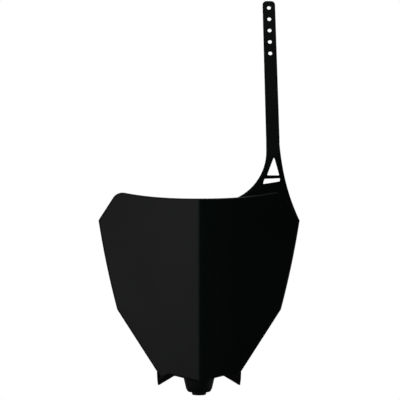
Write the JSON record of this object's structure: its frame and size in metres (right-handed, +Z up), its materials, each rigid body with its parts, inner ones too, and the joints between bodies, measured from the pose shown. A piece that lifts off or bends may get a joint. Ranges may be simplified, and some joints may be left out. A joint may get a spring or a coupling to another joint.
{
  "type": "motocross front number plate",
  "caption": "V-folded front plate for a rider's number, with a boss for one bolt below and a moulded-in strap with button holes that loops round the handlebar.",
  "frame": {"origin": "centre of the bolt hole on the underside of the lower boss", "axes": "+Z up along the crease, the face looks along -Y, +X to the viewer's right when facing it"},
  "size_m": [0.2404, 0.1209, 0.477],
  "materials": {
    "plate": "satin black moulded polypropylene"
  },
  "bodies": {
    "root": {"number_plate": "plate"}
  },
  "joints": []
}
